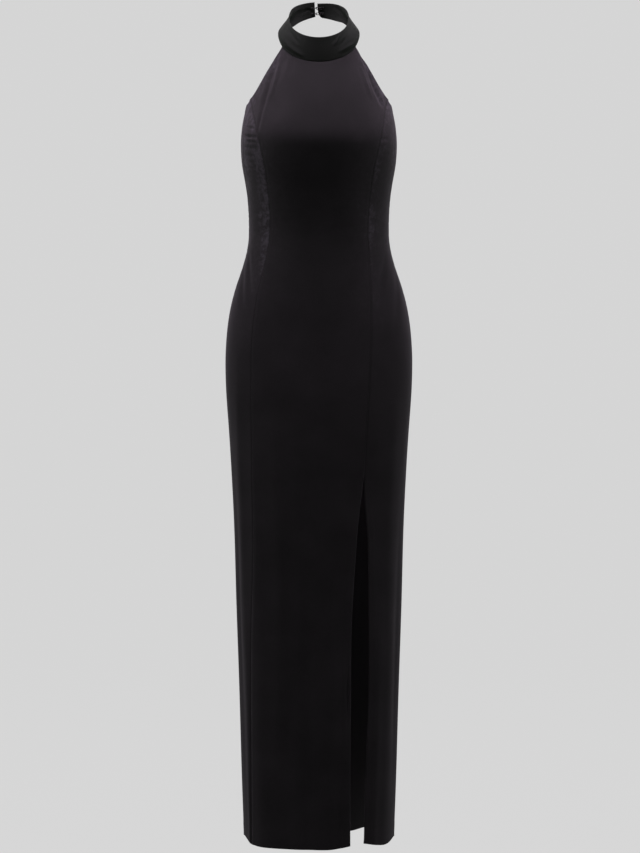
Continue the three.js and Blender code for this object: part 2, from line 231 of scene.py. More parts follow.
# %% [markdown]
# The wrong side of velvet is its bare ground: a fine jersey knit without pile, dull and
# even. It shows inside the slit, the neck and the open back. Rows of loops are 0.6 mm
# apart on the real cloth and are drawn 0.9 mm apart, so that they show close up.

# %% Wrong side of the cloth
LOOP_MM = 0.9
WAVE_TURN = 20  # a Wave texture of scale 1 turns by 20 radians in each metre
knit = new_material("black_jersey_ground")
knit_place = add_node(knit, "ShaderNodeTexCoord")
loops = add_node(
    knit, "ShaderNodeTexWave", {"wave_type": "BANDS", "bands_direction": "Z"},
    inputs={
        "Scale": math.tau * 1000 / LOOP_MM / WAVE_TURN,
        "Distortion": 1.2,
        "Detail": 2.0,
        "Detail Scale": 3.0,
    },
    links={"Vector": (knit_place, "Object")},
)
knit_colour = add_node(knit, "ShaderNodeValToRGB", links={"Fac": (loops, "Fac")})
set_ramp(knit_colour, (0.0, "#121112"), (1.0, "#1a181a"))
knit_bump = add_node(
    knit, "ShaderNodeBump", inputs={"Strength": 0.35, "Distance": 0.2 * MM},
    links={"Height": (loops, "Fac")},
)
knit_shader = add_node(
    knit, "ShaderNodeBsdfPrincipled",
    inputs={"Roughness": 0.92, "Specular IOR Level": 0.15, "Sheen Weight": 0.12},
    links={"Base Color": (knit_colour, "Color"), "Normal": (knit_bump, "Normal")},
)
add_node(knit, "ShaderNodeOutputMaterial", links={"Surface": (knit_shader, "BSDF")})
print("knit loops every", LOOP_MM, "mm")

# %% [markdown]
# Hooks and eyes are brass wire dipped in black lacquer. A dipped coat is thin and a
# little uneven, so it is satin rather than bright. A noise 2 mm across stands for that.

# %% Lacquered wire
DIP_MM = 2.0
lacquer = new_material("black_lacquered_wire")
lacquer_place = add_node(lacquer, "ShaderNodeTexCoord")
dip = add_node(
    lacquer, "ShaderNodeTexNoise",
    inputs={"Scale": 1000 / DIP_MM, "Detail": 3.0},
    links={"Vector": (lacquer_place, "Object")},
)
lacquer_colour = add_node(lacquer, "ShaderNodeValToRGB", links={"Fac": (dip, "Fac")})
set_ramp(lacquer_colour, (0.35, "#040404"), (0.8, "#0d0c0d"))
lacquer_rough = add_node(
    lacquer, "ShaderNodeMapRange",
    inputs={"From Min": 0.3, "From Max": 0.7, "To Min": 0.6, "To Max": 0.75},
    links={"Value": (dip, "Fac")},
)
lacquer_shader = add_node(
    lacquer, "ShaderNodeBsdfPrincipled",
    inputs={"Specular IOR Level": 0.16, "IOR": 1.5},
    links={"Base Color": (lacquer_colour, "Color"), "Roughness": (lacquer_rough, "Result")},
)
add_node(lacquer, "ShaderNodeOutputMaterial", links={"Surface": (lacquer_shader, "BSDF")})
print("lacquer dip marks", DIP_MM, "mm")

# %% [markdown]
# Several steps below work on one piece at a time. Operators act on whatever is selected,
# so one function selects a single piece, and one adds a modifier and applies it. Others
# read or write all places of a mesh at once, which is much faster than one by one.

# %% Helpers for pieces
def only(piece):
    for other in bpy.data.objects:
        other.select_set(False)
    piece.select_set(True)
    bpy.context.view_layer.objects.active = piece


def apply(piece, kind, **settings):
    only(piece)
    modifier = piece.modifiers.new(kind.lower(), kind)
    for key, value in settings.items():
        setattr(modifier, key, value)
    bpy.ops.object.modifier_apply(modifier=modifier.name)


def places_of(piece):
    flat = np.empty(len(piece.data.vertices) * 3)
    piece.data.vertices.foreach_get("co", flat)
    return flat.reshape(-1, 3)


def normals_of(piece):
    flat = np.empty(len(piece.data.vertices) * 3)
    piece.data.vertices.foreach_get("normal", flat)
    return flat.reshape(-1, 3)


def move_to(piece, places):
    piece.data.vertices.foreach_set("co", places.ravel())
    piece.data.update()


def smooth(mesh):
    for face in mesh.polygons:
        face.use_smooth = True


print("meshes loaded:", len(bpy.data.meshes))

# %% [markdown]
# A panel's solid is a wall with an outer face, an inner face and rims. A sheet of cloth
# needs only the outer face: the copy's loose triangles are merged, every face that doesn't
# look away from the middle of the dress is deleted, and the rest are joined into quads,
# bent pairs too, with a preference for an even grid.
# Faces are picked in face mode; in vertex mode the corner ones would go with the rims.
# An inset all round its edge then adds a narrow ring of faces. Subdivision splits that
# ring finely, and so the cloth can roll over in 3 mm at a seam or a hem. It would also
# round the panel's corners, so a corner's vertex gets a crease, which keeps it in place.

# %% Take the outer face of a solid
MERGE = 0.02 * MM
LOOKS_OUT = 0.5
JOIN_ANGLE = math.radians(170)
JOIN_EVENLY = 1.3
EDGE_RING = 3 * MM


def open_edges(mesh):
    uses = np.zeros(len(mesh.edges), int)
    loop_edges = np.empty(len(mesh.loops), int)
    mesh.loops.foreach_get("edge_index", loop_edges)
    np.add.at(uses, loop_edges, 1)
    ends = np.empty(len(mesh.edges) * 2, int)
    mesh.edges.foreach_get("vertices", ends)
    return ends.reshape(-1, 2)[uses == 1]


def keep_corners(piece, sharpest):
    mesh = piece.data
    beside = {}
    for a, b in open_edges(mesh):
        beside.setdefault(int(a), []).append(int(b))
        beside.setdefault(int(b), []).append(int(a))
    pinned = mesh.attributes.new("crease_vert", "FLOAT", "POINT")
    kept = 0
    for corner, (one, other) in beside.items():
        before = mesh.vertices[corner].co - mesh.vertices[one].co
        after = mesh.vertices[other].co - mesh.vertices[corner].co
        if before.angle(after) > sharpest:
            pinned.data[corner].value = 1.0
            kept += 1
    return kept


def outer_face(node, name):
    mesh = frame["nodes"][node].data.copy()
    mesh.materials.clear()
    piece = bpy.data.objects.new(name, mesh)
    scene.collection.objects.link(piece)
    only(piece)
    bpy.ops.object.mode_set(mode="EDIT")
    bpy.ops.mesh.select_mode(type="FACE")
    bpy.ops.mesh.select_all(action="SELECT")
    bpy.ops.mesh.remove_doubles(threshold=MERGE)
    bpy.ops.mesh.select_all(action="DESELECT")
    bpy.ops.object.mode_set(mode="OBJECT")
    for face in mesh.polygons:
        away = Vector((face.center.x, face.center.y, 0)).normalized()
        face.select = face.normal.dot(away) < LOOKS_OUT
    bpy.ops.object.mode_set(mode="EDIT")
    bpy.ops.mesh.delete(type="FACE")
    bpy.ops.mesh.select_all(action="SELECT")
    bpy.ops.mesh.tris_convert_to_quads(
        face_threshold=JOIN_ANGLE, shape_threshold=JOIN_ANGLE, topology_influence=JOIN_EVENLY
    )
    bpy.ops.mesh.inset(thickness=EDGE_RING, depth=0, use_boundary=True, use_even_offset=True)
    bpy.ops.object.mode_set(mode="OBJECT")
    return piece


def round_off(piece, levels):
    apply(
        piece, "SUBSURF", levels=levels, render_levels=levels,
        boundary_smooth="PRESERVE_CORNERS",
    )


PANEL_CORNER = math.radians(35)
PANEL_LEVELS = {
    "front_centre": 2,
    "front_side_right": 3,
    "front_side_left": 3,
    "back_left": 3,
    "back_right": 3,
}
sheets = {}
for node, levels in PANEL_LEVELS.items():
    sheets[node] = outer_face(node, node + "_cloth")
    corners = keep_corners(sheets[node], PANEL_CORNER)
    round_off(sheets[node], levels)
    print(node, corners, "corners, rounded to", len(sheets[node].data.polygons), "faces")

# %% [markdown]
# The centre front is wide, so it was rounded one step less than the others. Its bodice
# carries small creases and is split once more.

# %% Finer bodice
BODICE_FOOT = -0.27
centre = sheets["front_centre"]
only(centre)
for face in centre.data.polygons:
    face.select = face.center.z > BODICE_FOOT
bpy.ops.object.mode_set(mode="EDIT")
bpy.ops.mesh.subdivide(number_cuts=1)
bpy.ops.object.mode_set(mode="OBJECT")
print("front_centre now", len(centre.data.polygons), "faces")

# %% [markdown]
# A seam and a free edge look different. At a seam both panels turn in and make a soft
# groove; a free edge is folded to the inside and is twice as thick for the width of its
# allowance. To tell them apart, points are laid close together along every open edge,
# and a point that has another panel's edge beside it is on a seam.

# %% Find seams and free edges
EDGE_STEP = 0.25 * MM
SEAM_REACH = 1.3 * MM
HEM_ALLOWANCE = 25.0  # allowances are in millimetres
SLIT_ALLOWANCE = 15.0
EDGE_ALLOWANCE = 8.0
HEM_BELOW = -1.42  # a free edge below this height, in metres, is the hem
SLIT_BELOW = -0.8


def edge_points(piece):
    points = []
    for a, b in places_of(piece)[open_edges(piece.data)]:
        steps = max(int(np.linalg.norm(b - a) / EDGE_STEP), 1)
        for i in range(steps):
            points.append(a + (b - a) * i / steps)
    return np.array(points)


def tree_of(points):
    tree = kdtree.KDTree(len(points))
    for i, point in enumerate(points):
        tree.insert(point, i)
    tree.balance()
    return tree


def allowance_at(point):
    if point[2] < HEM_BELOW:
        return HEM_ALLOWANCE
    if point[2] < SLIT_BELOW:
        return SLIT_ALLOWANCE
    return EDGE_ALLOWANCE


neck_points = edge_points(outer_face("neck_band", "neck_edge_guide"))
edges = {node: edge_points(piece) for node, piece in sheets.items()}
edges["neck_band"] = neck_points
edge_trees = {node: tree_of(points) for node, points in edges.items()}
bpy.data.objects.remove(bpy.data.objects["neck_edge_guide"])


def seam_mates(node):
    nearest = []
    for point in edges[node]:
        best = None
        for other, tree in edge_trees.items():
            if other != node:
                place, _, away = tree.find(point)
                if away < SEAM_REACH and (best is None or away < best[0]):
                    best = (away, other, place)
        nearest.append(best)
    return nearest


mates = {node: seam_mates(node) for node in sheets}
for node, found in mates.items():
    print(node, "edge points", len(found), "on seams", sum(mate is not None for mate in found))

# %% [markdown]
# Creases are put on from the photo, as a tailor would describe them: where one
# starts and ends, how wide it is and how deep. A place on the dress is given by its turn
# in degrees round from the front, positive towards the wearer's left, and its drop in
# millimetres below the middle of the neck band. A crease is a soft trough between two
# low shoulders, or a ridge between two dips, and it fades out at both ends. Its width and
# height are in millimetres too, and a trough's height is below zero.

# %% How a crease lifts the cloth
CLOTH_RADIUS = 120.0  # one degree of turn is about 2.1 mm of cloth
BAND_RADIUS = 62.0
SHOULDER = {"share": 0.3, "out": 2.1, "wide": 1.1}  # out and wide in widths of the crease
END_FADE = 0.7


def unrolled(places, radius):
    turn = np.arctan2(places[:, 0], -places[:, 1])
    return np.column_stack([turn * radius, -places[:, 2] / MM])


def crease(spots, radius, at, wide, high):
    route = [np.array([math.radians(turn) * radius, drop]) for turn, drop in at]
    runs = [np.linalg.norm(b - a) for a, b in zip(route, route[1:])]
    nearest = np.full(len(spots), np.inf)
    along = np.zeros(len(spots))
    done = 0.0
    for a, b, run in zip(route, route[1:], runs):
        share = np.clip((spots - a) @ (b - a) / run ** 2, 0, 1)
        away = np.linalg.norm(spots - (a + share[:, None] * (b - a)), axis=1)
        closer = away < nearest
        nearest[closer] = away[closer]
        along[closer] = (done + share[closer] * run) / sum(runs)
        done += run
    across = nearest / wide
    fade = np.sin(np.pi * along).clip(0, 1) ** END_FADE
    shoulders = np.exp(-((across - SHOULDER["out"]) / SHOULDER["wide"]) ** 2)
    return high * fade * (np.exp(-across ** 2) - SHOULDER["share"] * shoulders)


print("shoulders are highest", SHOULDER["out"], "widths from the middle of a crease")

# %% [markdown]
# The front creases follow the photo: a few along each armhole edge, where the halter
# pulls the cloth between neck and bust; short level ones where the side panel is eased to
# the bust and at the waist; and long upright ones in the skirt. The slit's inner edge
# curls a little at the knee. The back isn't shown, so it gets creases of the same kinds,
# as uneven as those in front: drag lines over the seat, and some over the waist.

# %% Creases of each panel
CREASES = {
    "front_centre": [
        dict(at=[(-65, 38), (-61.5, 52), (-55.5, 86)], wide=3.4, high=-1.1),
        dict(at=[(-58, 70), (-53.7, 119), (-51.6, 150)], wide=4.4, high=-2.3),
        dict(at=[(-53, 132), (-50.8, 166), (-50.4, 194)], wide=3.0, high=-1.1),
        dict(at=[(-55, 58), (-49.6, 92), (-47, 124)], wide=3.2, high=2.0),
        dict(at=[(-46, 44), (-42, 70), (-40, 98)], wide=6.0, high=1.0),
        dict(at=[(67, 40), (64.5, 58), (60.8, 86)], wide=3.4, high=-1.4),
        dict(at=[(62, 74), (60.2, 108), (62, 132), (65.6, 146)], wide=4.6, high=-2.2),
        dict(at=[(56, 70), (53, 100), (52.5, 130)], wide=3.6, high=1.6),
        dict(at=[(-44, 128), (-38, 150), (-36, 172)], wide=6.0, high=-0.5),
        dict(at=[(40, 150), (36, 176), (30, 205)], wide=7.0, high=-0.6),
        dict(at=[(-30, 300), (-12, 318), (4, 326)], wide=6.5, high=-0.5),
        dict(at=[(34, 290), (20, 304), (8, 309)], wide=6.0, high=-0.5),
        dict(at=[(38, 345), (26, 356), (14, 360)], wide=7.0, high=-0.45),
        dict(at=[(-44, 420), (-26, 470), (-20, 560)], wide=13.0, high=-1.0),
        dict(at=[(36, 430), (24, 480), (18, 580)], wide=13.0, high=-1.0),
        dict(at=[(-40, 640), (-38, 980), (-42, 1320)], wide=12.0, high=1.4),
        dict(at=[(-12, 760), (-10, 1180), (-14, 1900)], wide=15.0, high=-1.6),
        dict(at=[(12, 900), (14, 1240), (12, 1900)], wide=14.0, high=1.5),
        dict(at=[(29.8, 1115), (29.4, 1172), (29.7, 1222)], wide=2.4, high=-2.0),
        dict(at=[(30, 1180), (28, 1330), (29, 1700)], wide=9.0, high=1.2),
    ],
    "front_side_right": [
        dict(at=[(-66, 176), (-54, 180)], wide=2.0, high=-1.0),
        dict(at=[(-69, 190), (-50, 196)], wide=2.2, high=-1.6),
        dict(at=[(-64, 201), (-51, 204)], wide=1.6, high=-0.8),
        dict(at=[(-68, 210), (-50, 215)], wide=2.2, high=-1.5),
        dict(at=[(-69, 225), (-50, 230)], wide=2.4, high=-1.3),
        dict(at=[(-64, 237), (-53, 238)], wide=1.8, high=-0.7),
        dict(at=[(-70, 246), (-57, 250)], wide=2.2, high=-0.4),
        dict(at=[(-70, 306), (-61, 309)], wide=2.0, high=-0.4),
        dict(at=[(-72, 323), (-58, 328)], wide=2.2, high=-1.0),
        dict(at=[(-73, 338), (-58, 343)], wide=2.0, high=-0.9),
        dict(at=[(-69, 350), (-60, 351)], wide=1.6, high=-0.4),
        dict(at=[(-72, 356), (-58, 360)], wide=2.2, high=-1.0),
        dict(at=[(-74, 374), (-63, 381)], wide=2.4, high=-0.5),
        dict(at=[(-76, 396), (-68, 432), (-61, 470)], wide=4.0, high=-1.3),
        dict(at=[(-84, 410), (-74, 446), (-66, 500)], wide=5.0, high=-1.1),
        dict(at=[(-68, 560), (-70, 760), (-73, 1010)], wide=7.0, high=1.0),
        dict(at=[(-80, 700), (-79, 1010), (-78, 1350)], wide=8.0, high=-1.3),
        dict(at=[(-70, 1080), (-71, 1330), (-72, 1800)], wide=6.0, high=1.2),
    ],
    "front_side_left": [
        dict(at=[(60, 196), (50, 201)], wide=3.0, high=-0.7),
        dict(at=[(62, 222), (52, 226)], wide=2.8, high=-0.6),
        dict(at=[(74, 318), (62, 325)], wide=3.4, high=-0.7),
        dict(at=[(72, 346), (60, 349)], wide=3.2, high=-0.8),
        dict(at=[(76, 372), (62, 378)], wide=3.6, high=-0.6),
        dict(at=[(70, 398), (60, 440), (52, 486)], wide=5.0, high=-1.0),
        dict(at=[(82, 420), (72, 470), (64, 540)], wide=6.0, high=-0.9),
        dict(at=[(66, 620), (64, 830), (66, 1080)], wide=9.0, high=1.1),
        dict(at=[(78, 760), (77, 1040), (79, 1380)], wide=8.0, high=-1.3),
        dict(at=[(56, 1000), (57, 1240), (55, 1800)], wide=6.5, high=1.3),
    ],
    "back_left": [
        dict(at=[(92, 176), (108, 200), (126, 222)], wide=4.0, high=-1.0),
        dict(at=[(96, 232), (118, 246), (140, 250)], wide=4.5, high=-0.9),
        dict(at=[(94, 330), (120, 338), (146, 334)], wide=4.5, high=-1.2),
        dict(at=[(104, 356), (132, 366), (168, 362)], wide=5.0, high=-1.4),
        dict(at=[(96, 384), (112, 392), (134, 390)], wide=4.0, high=-1.0),
        dict(at=[(100, 430), (122, 470), (158, 500)], wide=9.0, high=-1.3),
        dict(at=[(108, 560), (134, 620), (166, 650)], wide=10.0, high=-1.4),
        dict(at=[(104, 700), (106, 980), (102, 1340)], wide=9.0, high=1.4),
        dict(at=[(126, 740), (128, 1080), (125, 1900)], wide=11.0, high=-1.8),
        dict(at=[(150, 700), (147, 1000), (150, 1400)], wide=10.0, high=1.6),
        dict(at=[(170, 760), (168, 1150), (171, 1900)], wide=10.0, high=-1.6),
    ],
    "back_right": [
        dict(at=[(-94, 170), (-112, 202), (-132, 224)], wide=4.2, high=-1.1),
        dict(at=[(-98, 226), (-116, 238), (-134, 241)], wide=4.0, high=-0.8),
        dict(at=[(-92, 320), (-112, 331), (-138, 330)], wide=4.0, high=-1.2),
        dict(at=[(-100, 346), (-130, 353), (-160, 347)], wide=5.0, high=-1.4),
        dict(at=[(-98, 372), (-120, 384), (-150, 386)], wide=4.6, high=-1.1),
        dict(at=[(-102, 440), (-126, 476), (-152, 492)], wide=9.0, high=-1.2),
        dict(at=[(-106, 580), (-130, 632), (-160, 664)], wide=11.0, high=-1.4),
        dict(at=[(-100, 720), (-103, 1020), (-101, 1380)], wide=9.0, high=1.4),
        dict(at=[(-121, 700), (-124, 1060), (-122, 1900)], wide=12.0, high=-1.8),
        dict(at=[(-146, 760), (-148, 1080), (-145, 1420)], wide=9.0, high=1.6),
        dict(at=[(-166, 720), (-168, 1120), (-166, 1900)], wide=11.0, high=-1.6),
    ],
}
print("creases:", {node: len(rows) for node, rows in CREASES.items()})

# %% [markdown]
# Sewing a stretch cloth along a curved seam leaves small puckers that start in the seam
# and die out within 10 or 20 mm. The photo shows them best on the wearer's right side.
# They are many and uneven, so a seeded generator chooses their sizes within limits. A
# zone gives the drops between which they lie, and their usual spacing, depth and reach.

# %% Puckers along the seams
TALL_MM = (1.3, 2.6)
REACH_SHARE = (0.5, 1.4)
DEPTH_SHARE = (0.3, 1.0)
LEAN = (-0.35, 0.35)
SPACING_SHARE = (0.6, 1.5)
PUCKER_ZONES = {
    "front_centre": dict(first=150, last=400, every=20, deepest=0.3, reach=8, seed=3),
    "front_side_right": dict(first=138, last=520, every=7, deepest=0.5, reach=12, seed=11),
    "front_side_left": dict(first=138, last=500, every=11, deepest=0.35, reach=10, seed=5),
    "back_left": dict(first=160, last=520, every=15, deepest=0.5, reach=12, seed=8),
    "back_right": dict(first=160, last=520, every=14, deepest=0.5, reach=12, seed=21),
}


def puckers(from_seam, drop, first, last, every, deepest, reach, seed):
    choose = np.random.default_rng(seed)
    height = np.zeros(len(drop))
    middle = first
    while middle < last:
        tall = choose.uniform(*TALL_MM)
        far = reach * choose.uniform(*REACH_SHARE)
        deep = deepest * choose.uniform(*DEPTH_SHARE)
        lean = choose.uniform(*LEAN)
        across = (drop - middle - lean * from_seam) / tall
        height -= deep * np.exp(-across ** 2 - (from_seam / far) ** 2)
        middle += every * choose.uniform(*SPACING_SHARE)
    return height


print("pucker zones:", len(PUCKER_ZONES))

# %% [markdown]
# Now each sheet is shaped. Every vertex is told how far it is from its nearest seam and
# its nearest free edge. At a seam the cloth dips by 0.4 mm with a low swelling on each
# side, and its edge is drawn across to meet the other panel. At the neck the bodice is
# caught between the two layers of the band, so its top edge is drawn up into it. A free
# edge is rolled under, and the allowance behind it lifts it a little. The same distances
# paint the attribute of laid-over pile, which inside a seam is set low as painted shade.
# All lengths here are in millimetres.

# %% Shape the sheets
FAR_AWAY = 1000.0
CREASES_STOP = 6.0
SEAM_DIP = 0.4
SEAM_SOFT = 2.2
SEAM_SWELL = {"high": 0.08, "out": 4.5, "wide": 2.6}
CORNER_REACH = 5.0
DRAWN_ACROSS = 3.0
DRAWN_SHARE = 0.46  # of the gap, so the two edges stop just short of each other
NECK_TUCK = {"in": 1.1, "up": 1.6, "reach": 3.5}
EDGE_ROLL = 0.8
EDGE_SOFT = 0.9
ALLOWANCE_LIFT = 0.35
ALLOWANCE_FADE = 3.0
RUBBED_EVERYWHERE = 0.12
RUBBED_REACH = 38.0
RUBBED_DOWN = {"full_to": 380, "none_below": 620}  # drops below the neck
RUBBED = {
    "front_centre": 0.26,
    "front_side_right": 0.52,
    "front_side_left": 0.42,
    "back_left": 0.4,
    "back_right": 0.45,
}
# painted shade: how much lower the attribute is set inside a seam, and over what reach in mm
SEAM_PAINTED_SHADE = {"share": 0.5, "reach": 1.8}
ARMHOLE_RUBBED = {"share": 0.42, "reach": 34.0, "full_to": 120, "none_below": 205}


def ease(value, low, high):
    share = np.clip((value - low) / (high - low), 0, 1)
    return share * share * (3 - 2 * share)


def nearest_in(points, rows, places):
    if not rows:
        return np.full(len(places), FAR_AWAY), np.zeros(len(places), int)
    tree = tree_of(points[rows])
    found = [tree.find(place) for place in places]
    away = np.array([distance / MM for _, _, distance in found])
    return away, np.array([rows[i] for _, i, _ in found])


def shape_sheet(node, piece):
    places, normals = places_of(piece), normals_of(piece)
    spots = unrolled(places, CLOTH_RADIUS)
    drop = spots[:, 1]
    points, found = edges[node], mates[node]
    panel_seams = [i for i, mate in enumerate(found) if mate and mate[1] != "neck_band"]
    neck_seam = [i for i, mate in enumerate(found) if mate and mate[1] == "neck_band"]
    free = [i for i, mate in enumerate(found) if mate is None]
    seam_away, seam_row = nearest_in(points, panel_seams, places)
    neck_away, _ = nearest_in(points, neck_seam, places)
    free_away, free_row = nearest_in(points, free, places)
    allowance = np.array([allowance_at(points[i]) for i in free_row])

    height = sum(crease(spots, CLOTH_RADIUS, **row) for row in CREASES[node])
    height *= ease(np.minimum(seam_away, neck_away), 0, CREASES_STOP)
    height += puckers(seam_away, drop, **PUCKER_ZONES[node])
    dip = SEAM_DIP * np.exp(-(seam_away / SEAM_SOFT) ** 2)
    height -= dip * ease(free_away, 0, CORNER_REACH)
    swell = np.exp(-((seam_away - SEAM_SWELL["out"]) / SEAM_SWELL["wide"]) ** 2)
    height += SEAM_SWELL["high"] * swell
    turned = 1 - ease(free_away, allowance - ALLOWANCE_FADE, allowance)
    height += ALLOWANCE_LIFT * turned
    roll = EDGE_ROLL * np.exp(-(free_away / EDGE_SOFT) ** 2)
    height -= roll * ease(seam_away, 0, CORNER_REACH)
    tuck = 1 - ease(neck_away, 0, NECK_TUCK["reach"])
    height -= NECK_TUCK["in"] * tuck

    moved = places + normals * height[:, None] * MM
    moved[:, 2] += NECK_TUCK["up"] * tuck * MM
    pull = np.clip(1 - seam_away / DRAWN_ACROSS, 0, 1)
    for i in np.nonzero(pull)[0]:
        across = np.array(found[seam_row[i]][2]) - points[seam_row[i]]
        moved[i] += across * DRAWN_SHARE * pull[i]
    move_to(piece, moved)

    rubbed_and_seam_shade = piece.data.attributes.new("rubbed_and_seam_shade", "FLOAT", "POINT")
    upper = 1 - ease(drop, RUBBED_DOWN["full_to"], RUBBED_DOWN["none_below"])
    near_seam = np.exp(-(seam_away / RUBBED_REACH) ** 2)
    amount = RUBBED_EVERYWHERE + RUBBED[node] * upper * near_seam
    # painted shade: a dark line inside each seam, where shade falls in the groove
    amount -= SEAM_PAINTED_SHADE["share"] * np.exp(-(seam_away / SEAM_PAINTED_SHADE["reach"]) ** 2)
    chest = 1 - ease(drop, ARMHOLE_RUBBED["full_to"], ARMHOLE_RUBBED["none_below"])
    near_armhole = np.exp(-(free_away / ARMHOLE_RUBBED["reach"]) ** 2)
    amount += ARMHOLE_RUBBED["share"] * chest * near_armhole
    rubbed_and_seam_shade.data.foreach_set("value", amount)
    thick = piece.vertex_groups.new(name="turned_under")
    for i in np.nonzero(turned > 0)[0]:
        thick.add([int(i)], float(turned[i]), "REPLACE")
    print(node, "moved by", np.round([height.min(), height.max()], 2), "mm")


for node, piece in sheets.items():
    shape_sheet(node, piece)

# %% [markdown]
# The sheets get their thickness last. Solidify keeps the outer face where it is and adds
# an inner one 1.2 mm behind, or 2 mm behind where an allowance is turned under. The
# inner face takes the second material, the knitted ground, so both are put on first.

# %% Give the cloth its thickness
CLOTH_THICK = 1.2
TURNED_THICK = 2.0

for node, piece in sheets.items():
    outside = sum(face.area for face in piece.data.polygons)
    piece.data.materials.append(velvet)
    piece.data.materials.append(knit)
    apply(
        piece, "SOLIDIFY", thickness=TURNED_THICK * MM, offset=-1, material_offset=1,
        vertex_group="turned_under", thickness_vertex_group=CLOTH_THICK / TURNED_THICK,
    )
    piece.vertex_groups.clear()
    smooth(piece.data)
    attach(piece, "root")
    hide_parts(node)
    low, high = places_of(piece).min(axis=0), places_of(piece).max(axis=0)
    print(piece.name, "outside", round(outside, 4), "m2, box", np.round(high - low, 3))
    print(piece.name, "triangles", sum(len(face.vertices) - 2 for face in piece.data.polygons))

# %% [markdown]
# The neck band is the same velvet doubled: both its long edges are folds, so they are
# round and not cut. Here the thickness comes before the rounding. Subdivision then rounds
# the folds of the upper and lower edge in one go with the rest. The end at the wearer's
# right is cut square, so its two corners are kept; the other end has a round corner.

# %% Neck band
BAND_THICK = 2.6
BAND_CORNER = math.radians(60)
BAND_LEVELS = 3

band = outer_face("neck_band", "neck_band_cloth")
keep_corners(band, BAND_CORNER)
apply(band, "SOLIDIFY", thickness=BAND_THICK * MM, offset=-1)
round_off(band, BAND_LEVELS)
print("neck band", len(band.data.polygons), "faces")

# %% [markdown]
# Soft cloth folded into a standing band buckles a little as it goes round the neck. The
# photo shows slanting folds on both sides of the front, the lowest just above the lower
# edge, and a dent at each side where the band turns up towards the nape. Three smaller
# folds at the back are guessed.
# They move the band's two layers together, away from the neck or towards it.

# %% Folds of the neck band
BAND_RUBBED = 0.2
BAND_FOLDS = [
    dict(at=[(-68, 12), (-48, 33), (-24, 53)], wide=3.4, high=1.4),
    dict(at=[(-56, 34), (-42, 45), (-22, 58)], wide=2.2, high=-1.3),
    dict(at=[(-64, 0), (-49, 12), (-36, 24), (-30, 32)], wide=2.6, high=-1.4),
    dict(at=[(21, 35), (29, 24), (37, 12)], wide=2.2, high=1.2),
    dict(at=[(29, 46), (43, 36), (58, 27)], wide=2.6, high=1.5),
    dict(at=[(28, 36), (40, 26), (50, 16)], wide=2.4, high=-1.2),
    dict(at=[(36, 50), (52, 38), (66, 27)], wide=2.2, high=-1.2),
    dict(at=[(-104, -22), (-92, -8), (-78, 2)], wide=3.8, high=-1.8),
    dict(at=[(106, -22), (93, -8), (79, 3)], wide=3.8, high=-1.8),
    dict(at=[(-150, -44), (-132, -38), (-118, -22)], wide=3.2, high=-0.8),
    dict(at=[(152, -46), (134, -36), (120, -24)], wide=3.2, high=0.8),
    dict(at=[(-168, -38), (-158, -40), (-146, -34)], wide=2.4, high=0.6),
]

places = places_of(band)
spots = unrolled(places, BAND_RADIUS)
lift = sum(crease(spots, BAND_RADIUS, **fold) for fold in BAND_FOLDS)
level = places * [1, 1, 0]
away = level / np.linalg.norm(level, axis=1)[:, None]
move_to(band, places + away * lift[:, None] * MM)
rubbed_and_seam_shade = band.data.attributes.new("rubbed_and_seam_shade", "FLOAT", "POINT")
rubbed_and_seam_shade.data.foreach_set("value", np.full(len(places), BAND_RUBBED))
band.data.materials.append(band_velvet_painted_shade)
smooth(band.data)
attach(band, "root")
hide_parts("neck_band")
print("neck band folds move it by", np.round([lift.min(), lift.max()], 2), "mm")

# %% [markdown]
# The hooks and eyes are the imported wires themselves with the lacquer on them. A few turns
# of thread hold each leg to the band: small rings round the wire, each a torus added at
# the wire's own place and turned to stand across it. There an eye has two legs, one above
# the other, and a hook has one. The thread is as dull and black as the knitted ground, and
# takes its material.

# %% Hooks, eyes and their stitches
THREAD_THICK = 0.32 * MM
THREAD_ROUND = 0.78 * MM
RING_STEPS = 16
THREAD_SIDES = 6
STITCH_TURNS = {
    "hook_lower": (-166.0, -168.5, -171.0),
    "hook_upper": (-166.0, -168.5, -171.0),
    "eye_lower": (171.0, 174.0, 177.0),
    "eye_upper": (171.0, 174.0, 177.0),
}
STITCH_REACH = math.radians(1.2)


def wire_places(node, turn):
    places = places_of(frame["nodes"][node])
    turns = np.arctan2(places[:, 0], -places[:, 1])
    near = places[np.abs(turns - math.radians(turn)) < STITCH_REACH]
    above = near[:, 2] > near[:, 2].mean()
    legs = [near] if node.startswith("hook") else [near[above], near[~above]]
    return [(leg.min(axis=0) + leg.max(axis=0)) / 2 for leg in legs if len(leg)]


stitches = []
for node, turns in STITCH_TURNS.items():
    wire = frame["nodes"][node]
    wire.data.materials.clear()
    wire.data.materials.append(lacquer)
    for turn in turns:
        for place in wire_places(node, turn):
            bpy.ops.object.select_all(action="DESELECT")
            bpy.ops.mesh.primitive_torus_add(
                major_radius=THREAD_ROUND, minor_radius=THREAD_THICK / 2,
                major_segments=RING_STEPS, minor_segments=THREAD_SIDES,
                location=place, rotation=(0, math.pi / 2, math.radians(turn)),
            )
            stitches.append(bpy.context.object)
for other in bpy.data.objects:
    other.select_set(other in stitches)
bpy.context.view_layer.objects.active = stitches[0]
bpy.ops.object.join()
thread = bpy.context.object
thread.name = "closure_stitches"
bpy.ops.object.transform_apply(location=True, rotation=True, scale=True)
thread.data.materials.clear()
thread.data.materials.append(knit)
smooth(thread.data)
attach(thread, "root")
print("stitches:", len(thread.data.polygons) // (RING_STEPS * THREAD_SIDES), "rings")

# %% [markdown]

